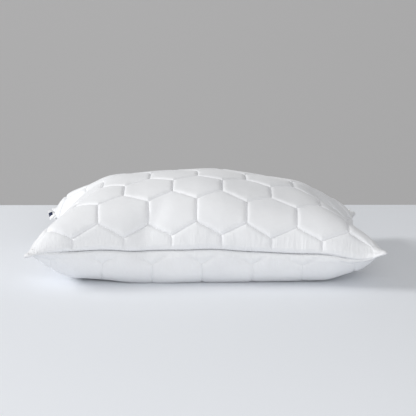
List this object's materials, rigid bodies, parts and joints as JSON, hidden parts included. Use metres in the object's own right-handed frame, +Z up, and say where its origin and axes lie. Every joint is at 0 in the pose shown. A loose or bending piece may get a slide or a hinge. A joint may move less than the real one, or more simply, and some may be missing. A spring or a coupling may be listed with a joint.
{
  "type": "quilted bed pillow",
  "caption": "Plump rectangular bed pillow with hexagon-quilted top and bottom panels, a knife-edge seam, four soft ears and a small plain label in one end seam.",
  "frame": {"origin": "under the middle of the pillow, on the surface that it lies on", "axes": "+X along the pillow's length, +Y from its front long side to its back, +Z up out of the surface that it lies on"},
  "size_m": [0.722, 0.466, 0.194],
  "materials": {
    "face_cloth": "smooth white cotton sateen with a soft sheen",
    "wadding": "lofty white polyester wadding",
    "backing": "thin matte non-woven",
    "thread": "white spun polyester sewing thread",
    "filling": "loose white hollow fibre",
    "label_satin": "white woven satin, with a plain navy band on the larger label"
  },
  "bodies": {
    "root": {"top_face_cloth": "face_cloth", "top_wadding": "wadding", "top_backing": "backing", "top_quilting_thread": "thread", "bottom_face_cloth": "face_cloth", "bottom_wadding": "wadding", "bottom_backing": "backing", "bottom_quilting_thread": "thread", "fibre_filling": "filling", "seam_thread": "thread", "overlock_thread": "thread", "closing_stitches": "thread", "side_label": "label_satin", "care_label": "label_satin"}
  },
  "joints": []
}
